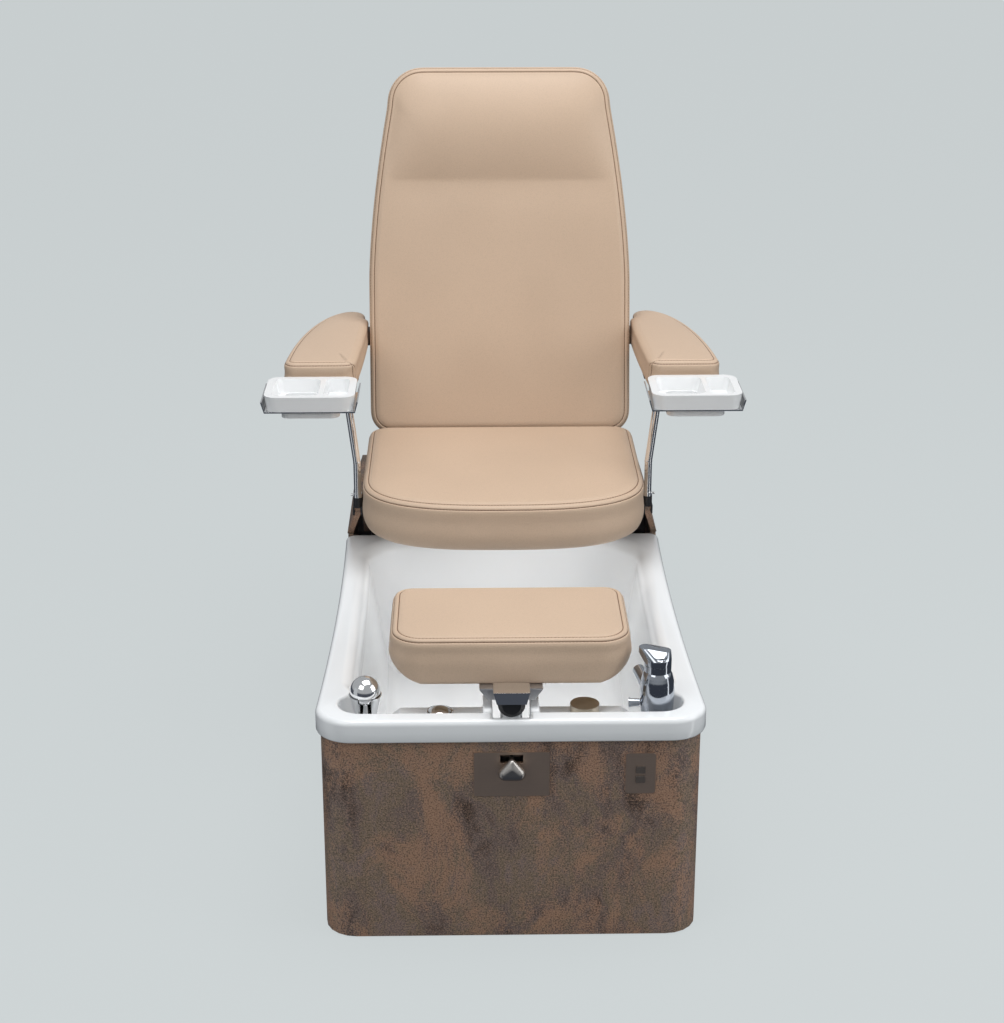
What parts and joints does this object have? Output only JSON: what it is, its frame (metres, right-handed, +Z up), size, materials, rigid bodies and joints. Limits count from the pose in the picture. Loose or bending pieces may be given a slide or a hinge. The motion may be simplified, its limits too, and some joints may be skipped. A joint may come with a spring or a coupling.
{
  "type": "pedicure bench",
  "caption": "Pedicure bench: foot tub on a clad base with mixer, hand shower and rising footrest, sliding reclining seat, lifting armrests and two swinging trays.",
  "frame": {"origin": "middle of the object's bounding box, on the floor under the feet", "axes": "+Z up; +X to the right of someone who stands in front of the tub and looks at the chair; +Y from the tub's front to the backrest"},
  "size_m": [1.016, 1.4827, 1.4163],
  "materials": {
    "frame_paint": "black powder coat",
    "steel": "satin zinc plate",
    "chrome": "polished",
    "dark_chrome": "smoked chrome",
    "shell_white": "polished white acrylic",
    "tray_white": "satin white",
    "stone_laminate": "board with a mottled brown stone laminate",
    "dark_laminate": "board with a dark laminate",
    "board": "plywood",
    "upholstery": "smooth tan leathercloth, double stitched",
    "bronze_plate": "bronze-grey satin",
    "pewter": "pewter, softly polished",
    "button_grey": "satin",
    "black_plastic": "satin",
    "black_rubber": "matt",
    "grey_hose": "ribbed hose",
    "braid": "steel-braided hose",
    "pipe_plastic": "satin",
    "brass": "turned"
  },
  "bodies": {
    "bench": {"base_frame": "frame_paint", "levelling_feet": "steel", "cabinet_skirt": "stone_laminate", "rear_cabinet": "stone_laminate", "rear_cover": "steel", "cover_screws": "steel", "tub_shell": "shell_white", "drain_flange": "chrome", "drain_cable": "black_plastic", "waste_trap": "pipe_plastic", "jet_pump": "black_plastic", "pump_hoses": "grey_hose", "jet_nozzles": "chrome", "inlet_tails": "brass", "water_hoses": "braid", "cable_gland": "black_plastic", "mixer_body": "chrome", "shower_holder": "chrome", "hose_guide": "pipe_plastic", "jet_button_ring": "chrome", "footrest_guide": "steel", "gas_spring": "black_plastic", "release_cable": "black_plastic", "lever_plate": "bronze_plate", "switch_plate": "bronze_plate", "pedestal_sides": "stone_laminate", "pedestal_boards": "dark_laminate", "pedestal_top": "board", "seat_rails": "steel", "tray_sockets": "black_plastic"},
    "seat": {"seat_carriage": "frame_paint", "seat_pan": "board", "seat_cushion": "upholstery"},
    "back": {"back_frame": "frame_paint", "back_cushion": "upholstery"},
    "armrest_left": {"armrest_bracket_left": "frame_paint", "armrest_pad_left": "upholstery"},
    "armrest_right": {"armrest_bracket_right": "frame_paint", "armrest_pad_right": "upholstery"},
    "tray_arm_left": {"tray_arm_left": "chrome"},
    "tray_arm_right": {"tray_arm_right": "chrome"},
    "tray_left": {"tray_left": "tray_white"},
    "tray_right": {"tray_right": "tray_white"},
    "footrest_column": {"footrest_column": "chrome", "gas_spring_rod": "chrome"},
    "footrest_clamp_knob": {"footrest_clamp_knob": "black_plastic"},
    "footrest": {"footrest_bracket": "steel", "footrest_board": "board", "footrest_pad": "upholstery"},
    "mixer_hub": {"mixer_hub": "chrome"},
    "mixer_lever": {"mixer_lever": "chrome"},
    "diverter_knob": {"diverter_knob": "chrome"},
    "hand_shower": {"hand_shower": "dark_chrome", "shower_hose": "braid"},
    "jet_button": {"jet_button": "chrome"},
    "drain_knob": {"drain_knob": "pewter"},
    "drain_plug": {"drain_plug": "chrome"},
    "release_lever": {"release_lever": "pewter"},
    "switch_button_upper": {"switch_button_upper": "button_grey"},
    "switch_button_lower": {"switch_button_lower": "button_grey"}
  },
  "joints": [
    {"name": "seat_slide", "type": "slide", "parent": "bench", "child": "seat", "axis": [0, 1, 0], "range_m": [0, 0.12]},
    {"name": "back_recline", "type": "hinge", "parent": "seat", "child": "back", "pos_m": [0, 0.46524, 0.5903], "axis": [-1, 0, 0], "range_deg": [0, 35]},
    {"name": "armrest_left_lift", "type": "hinge", "parent": "back", "child": "armrest_left", "pos_m": [-0.305, 0.60843, 0.80915], "axis": [-1, 0, 0], "range_deg": [0, 90]},
    {"name": "armrest_right_lift", "type": "hinge", "parent": "back", "child": "armrest_right", "pos_m": [0.305, 0.60843, 0.80915], "axis": [-1, 0, 0], "range_deg": [0, 90]},
    {"name": "tray_arm_left_swing", "type": "hinge", "parent": "bench", "child": "tray_arm_left", "pos_m": [-0.315, 0.14678, 0.56], "axis": [0, 0, 1], "range_deg": [0, 120]},
    {"name": "tray_arm_right_swing", "type": "hinge", "parent": "bench", "child": "tray_arm_right", "pos_m": [0.315, 0.14678, 0.56], "axis": [0, 0, -1], "range_deg": [0, 120]},
    {"name": "tray_left_lift", "type": "slide", "parent": "tray_arm_left", "child": "tray_left", "axis": [0, 0, 1], "range_m": [0, 0.06]},
    {"name": "tray_right_lift", "type": "slide", "parent": "tray_arm_right", "child": "tray_right", "axis": [0, 0, 1], "range_m": [0, 0.06]},
    {"name": "footrest_height", "type": "slide", "parent": "bench", "child": "footrest_column", "axis": [0, 0, 1], "range_m": [0, 0.12]},
    {"name": "footrest_tilt", "type": "hinge", "parent": "footrest_column", "child": "footrest", "pos_m": [0, -0.64522, 0.473], "axis": [1, 0, 0], "range_deg": [-15, 9]},
    {"name": "footrest_knob_turn", "type": "hinge", "parent": "footrest_column", "child": "footrest_clamp_knob", "pos_m": [0, -0.67522, 0.4795], "axis": [0, 1, 0], "range_deg": [0, 180]},
    {"name": "mixer_swivel", "type": "hinge", "parent": "bench", "child": "mixer_hub", "pos_m": [0.269, -0.63022, 0.515], "axis": [0, 0, 1], "range_deg": [-45, 45]},
    {"name": "mixer_lever_lift", "type": "hinge", "parent": "mixer_hub", "child": "mixer_lever", "pos_m": [0.293, -0.63022, 0.5286], "axis": [0, 1, 0], "range_deg": [0, 20]},
    {"name": "diverter_pull", "type": "slide", "parent": "bench", "child": "diverter_knob", "axis": [-1, 0, 0], "range_m": [0, 0.008]},
    {"name": "hand_shower_lift", "type": "slide", "parent": "bench", "child": "hand_shower", "axis": [0, 0, 1], "range_m": [0, 0.15]},
    {"name": "jet_button_press", "type": "slide", "parent": "bench", "child": "jet_button", "axis": [0, 0, -1], "range_m": [0, 0.003], "stiffness_N_per_m": 900, "springref_m": -0.002},
    {"name": "drain_knob_turn", "type": "hinge", "parent": "bench", "child": "drain_knob", "pos_m": [0.136, -0.63022, 0.43], "axis": [0, 0, 1], "range_deg": [0, 90]},
    {"name": "drain_plug_lift", "type": "slide", "parent": "bench", "child": "drain_plug", "axis": [0, 0, 1], "range_m": [0, 0.008]},
    {"name": "release_lever_lift", "type": "hinge", "parent": "bench", "child": "release_lever", "pos_m": [0, -0.68322, 0.3745], "axis": [-1, 0, 0], "range_deg": [0, 12], "stiffness_Nm_per_rad": 3, "springref_deg": -8.59},
    {"name": "switch_upper_press", "type": "slide", "parent": "bench", "child": "switch_button_upper", "axis": [0, 1, 0], "range_m": [0, 0.002], "stiffness_N_per_m": 800, "springref_m": -0.001},
    {"name": "switch_lower_press", "type": "slide", "parent": "bench", "child": "switch_button_lower", "axis": [0, 1, 0], "range_m": [0, 0.002], "stiffness_N_per_m": 800, "springref_m": -0.001}
  ],
  "couplings": [
    {"joint": "drain_plug_lift", "follows": "drain_knob_turn", "m_per_rad": 0.005093}
  ]
}
